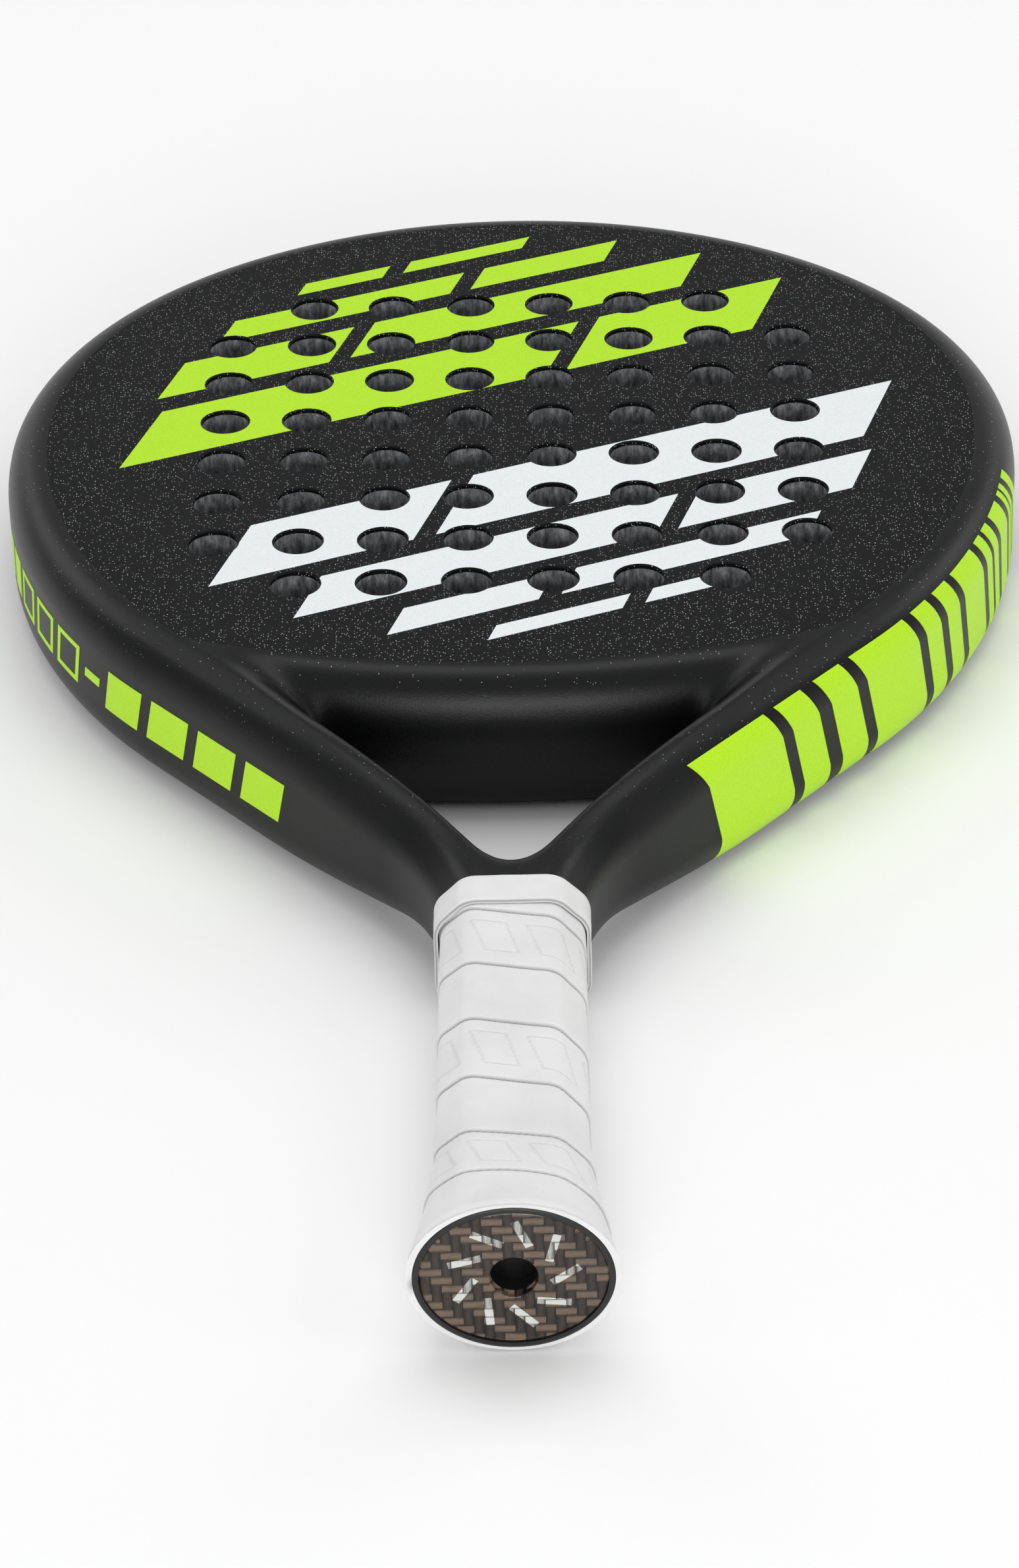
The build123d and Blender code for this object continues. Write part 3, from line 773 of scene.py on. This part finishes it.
def twill_with_painted_light(nodes, links):
    """A twill weave on the butt's plane with painted light: 0 in the painted shade at the ends of the tows,
    1 on the painted highlight of their crowns, and the tows across the light painted lighter than those
    along it.
    """
    split = nodes.new("ShaderNodeSeparateXYZ")
    links.new(place(nodes), split.inputs["Vector"])
    u = maths(nodes, links, "MULTIPLY", split.outputs["X"], 1 / (TOW * MM))
    v = maths(nodes, links, "MULTIPLY", split.outputs["Z"], 1 / (TOW * MM))
    steps = maths(nodes, links, "ADD", maths(nodes, links, "FLOOR", u), maths(nodes, links, "FLOOR", v))
    flat = maths(nodes, links, "LESS_THAN", maths(nodes, links, "FLOORED_MODULO", steps, 4.0), 2.0)
    tones = []
    for length_way, width_way in ((u, v), (v, u)):
        ridge = maths(nodes, links, "FRACT", width_way)
        painted_crown_highlight = maths(nodes, links, "SINE", maths(nodes, links, "MULTIPLY", ridge, math.pi))
        streak = nodes.new("ShaderNodeCombineXYZ")
        links.new(maths(nodes, links, "MULTIPLY", length_way, FIBRE_LONG), streak.inputs["X"])
        links.new(maths(nodes, links, "MULTIPLY", width_way, FIBRE_WIDE), streak.inputs["Y"])
        fibre = noise(nodes, links, streak.outputs["Vector"], FIBRE_SCALE, 3)
        tones.append(maths(nodes, links, "MULTIPLY", maths(nodes, links, "POWER", painted_crown_highlight, 0.6), fibre))
    mix = nodes.new("ShaderNodeMix")
    links.new(flat, mix.inputs["Factor"])
    links.new(maths(nodes, links, "MULTIPLY", tones[1], TOW_DIM), mix.inputs["A"])
    links.new(maths(nodes, links, "MULTIPLY", tones[0], TOW_LIT), mix.inputs["B"])
    return mix.outputs["Result"]


def weave(name):
    """Carbon twill with a brown cast, its colour following the weave's painted shade and highlights."""
    made, nodes, links, shader = material(name, linear(80, 66, 55), 0.35)
    tone = twill_with_painted_light(nodes, links)
    links.new(ramp(nodes, links, tone, (0.12, linear(18, 15, 12)), (0.34, linear(98, 80, 66)),
                   (0.75, linear(166, 143, 122))), shader.inputs["Base Color"])
    vary(nodes, links, shader, tone, 0.45, 0.28)
    return made


def foil(name):
    """Silver foil that takes on the weave below it, with the weave's painted shade and highlights in its
    colour.
    """
    made, nodes, links, shader = material(name, linear(232, 234, 228), 0.3)
    tone = twill_with_painted_light(nodes, links)
    links.new(ramp(nodes, links, tone, (0.1, linear(84, 80, 74)), (0.28, linear(236, 236, 230)),
                   (0.5, linear(255, 255, 252))), shader.inputs["Base Color"])
    return made


def resin(name):
    """Clear cast resin that lets lamps through to the badge below it."""
    made, nodes, links, shader = material(name, (1, 1, 1, 1), 0.04, IOR=1.48, Transmission_Weight=1.0)
    ripple = noise(nodes, links, place(nodes), RESIN_RIPPLE, 2)
    bump(nodes, links, shader, ripple, 0.05, 0.0006)
    open_way = nodes.new("ShaderNodeBsdfTransparent")
    rays = nodes.new("ShaderNodeLightPath")
    both = nodes.new("ShaderNodeMixShader")
    links.new(rays.outputs["Is Shadow Ray"], both.inputs["Fac"])
    links.new(shader.outputs["BSDF"], both.inputs[1])
    links.new(open_way.outputs["BSDF"], both.inputs[2])
    links.new(both.outputs["Shader"], nodes["Material Output"].inputs["Surface"])
    return made


def grip_skin(name, colour, roughness):
    """Tacky polyurethane: an even pale skin with fine pores and faint handling marks, turned grey in its
    creases as painted shade.
    """
    made, nodes, links, shader = material(name, colour, roughness)
    at = place(nodes)
    marks = noise(nodes, links, at, SKIN_MARKS, 5, 0.6)
    pores = noise(nodes, links, at, SKIN_PORES, 2)
    worn = [c * WORN for c in colour[:3]] + [1]
    crease_and_painted_shade = nodes.new("ShaderNodeAttribute")
    crease_and_painted_shade.attribute_name = "crease_and_painted_shade"
    mix = nodes.new("ShaderNodeMix")
    mix.data_type = "RGBA"
    links.new(maths(nodes, links, "MULTIPLY", crease_and_painted_shade.outputs["Fac"], CREASE_SHADE_SHARE), mix.inputs["Factor"])
    links.new(ramp(nodes, links, marks, (0.34, worn), (0.6, colour)), mix.inputs["A"])
    mix.inputs["B"].default_value = linear(*CREASE_SHADE_GREY)
    links.new(mix.outputs["Result"], shader.inputs["Base Color"])
    vary(nodes, links, shader, marks, roughness - 0.05, roughness + 0.07)
    bump(nodes, links, shader, pores, 0.10, 0.0004)
    return made


LIME = linear(183, 233, 24)
WHITE = linear(235, 240, 241)
finishes = {
    "carbon_frame": painted_carbon("matte_carbon", 0.07, linear(10, 11, 11), 0.36, 0.24),
    "face_laminate": painted_carbon("gritty_laminate", 0.55, linear(9, 10, 10), 0.5, 0.13),
    "eva_foam": foam("drilled_foam"),
    "lime_transfer": printed("lime_print", LIME),
    "white_transfer": printed("white_print", WHITE),
    "handle_foam": foam("handle_foam"),
    "cap_plastic": plastic("cap_plastic", linear(20, 20, 21), 0.4),
    "steel_pin": steel("drawn_steel"),
    "badge_weave": weave("twill_weave"),
    "badge_foil": foil("silver_foil"),
    "badge_resin": resin("clear_resin"),
    "grip_wrap": grip_skin("grip_skin", linear(229, 229, 229), 0.5),
    "grip_tape": grip_skin("tape_skin", linear(230, 230, 230), 0.4),
}

# ============================== the CAD nodes that show ==============================
for part in frame["record"]["subparts"]:
    mesh = frame["nodes"][part["node"]].data
    mesh.materials.clear()
    mesh.materials.append(finishes[part["material_slot"]])

# ============================== the sculpted pieces ==============================
sheet_edge = top_loop("front_face", cad_box[1][2])
solid = body_mesh()
opening = prism("head_opening", sheet_edge, -CUT_MARGIN, THICK * MM + CUT_MARGIN)
solid = tidy_mesh(cut(solid, opening))
painted = new_object("painted_frame", solid, finishes["carbon_frame"], FRAME_SMOOTH)
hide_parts("frame_tube", "throat_bridge")

grip = grip_mesh(finishes["grip_wrap"])
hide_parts("base_grip")
collar = tape_mesh(finishes["grip_tape"])
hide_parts("finishing_tape")

right_patches = []
for k, (y, width) in enumerate(zip(starts(RIGHT_START_Y, RIGHT_BLOCKS), RIGHT_BLOCKS)):
    if k % 2 == 0:
        right_patches.append(leaning(y, width, -RIGHT_LOW, RIGHT_HIGH))
    else:
        stroke = RIGHT_STROKE * width
        right_patches.append(leaning(y, stroke, -RIGHT_LOW, RIGHT_HIGH))
        right_patches.append(leaning(y + width - stroke, stroke, -RIGHT_LOW, RIGHT_HIGH))
right_films = films_object("side_print_right", right_patches, 1, finishes["lime_transfer"])
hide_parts("side_graphic_right")

left_patches = []
for k, (y, width) in enumerate(zip(starts(LEFT_START_Y, LEFT_BLOCKS), LEFT_BLOCKS)):
    if k == LEFT_DASH:
        left_patches.append(leaning(y, width, -DASH_HALF_H, DASH_HALF_H))
    elif k in LEFT_OUTLINED:
        left_patches.append(leaning(y, width, -LEFT_HALF_H, -LEFT_HALF_H + OUTLINE_W))
        left_patches.append(leaning(y, width, LEFT_HALF_H - OUTLINE_W, LEFT_HALF_H))
        stroke_h = LEFT_HALF_H - OUTLINE_W - OUTLINE_GAP
        left_patches.append(leaning(y, OUTLINE_W, -stroke_h, stroke_h))
        left_patches.append(leaning(y + width - OUTLINE_W, OUTLINE_W, -stroke_h, stroke_h))
    else:
        left_patches.append(leaning(y, width, -LEFT_HALF_H, LEFT_HALF_H))
left_films = films_object("side_print_left", left_patches, -1, finishes["lime_transfer"])
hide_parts("side_graphic_left")

# ============================== floor, light and camera ==============================
floor_corners = [(x * FLOOR_HALF, y * FLOOR_HALF, 0) for x, y in ((-1, -1), (1, -1), (1, 1), (-1, 1))]
floor_mesh = array_mesh("floor", floor_corners, np.array([[0, 1, 2, 3]]))
floor = bpy.data.objects.new("floor", floor_mesh)
bpy.context.scene.collection.objects.link(floor)
floor_mesh.materials.append(material("floor", FLOOR_COLOUR, 0.9)[0])


def softbox(name, place_at, aim, size, power):
    """A rectangular area lamp, in metres and watts, turned to its aim."""
    lamp = bpy.data.lights.new(name, "AREA")
    lamp.shape = "RECTANGLE"
    lamp.size, lamp.size_y = size
    lamp.energy = power
    made = bpy.data.objects.new(name, lamp)
    bpy.context.scene.collection.objects.link(made)
    made.location = place_at
    made.visible_camera = False
    made.rotation_euler = (Vector(aim) - Vector(place_at)).to_track_quat("-Z", "Y").to_euler()


for lamp in LAMPS:
    softbox(*lamp)

world = bpy.data.worlds.new("studio")
bpy.context.scene.world = world
world.use_nodes = True
sky_nodes, sky_links = world.node_tree.nodes, world.node_tree.links
heading = sky_nodes.new("ShaderNodeSeparateXYZ")
sky_links.new(sky_nodes.new("ShaderNodeTexCoord").outputs["Generated"], heading.inputs["Vector"])
sky = ramp(sky_nodes, sky_links, heading.outputs["Z"], (HORIZON_AT, HORIZON), (ZENITH_AT, ZENITH))
sky_links.new(sky, sky_nodes["Background"].inputs["Color"])
bpy.context.scene.view_settings.view_transform = "Standard"

lens = bpy.data.cameras.new("camera")
lens.sensor_width = 36
lens.lens = CAMERA_LENS
lens.clip_start = 0.01
camera = bpy.data.objects.new("camera", lens)
bpy.context.scene.collection.objects.link(camera)
right, up, back = (Vector(axis) for axis in CAMERA_AXES)
camera.matrix_world = Matrix.Translation(CAMERA_AT) @ Matrix((right, up, back)).transposed().to_4x4()
bpy.context.scene.camera = camera
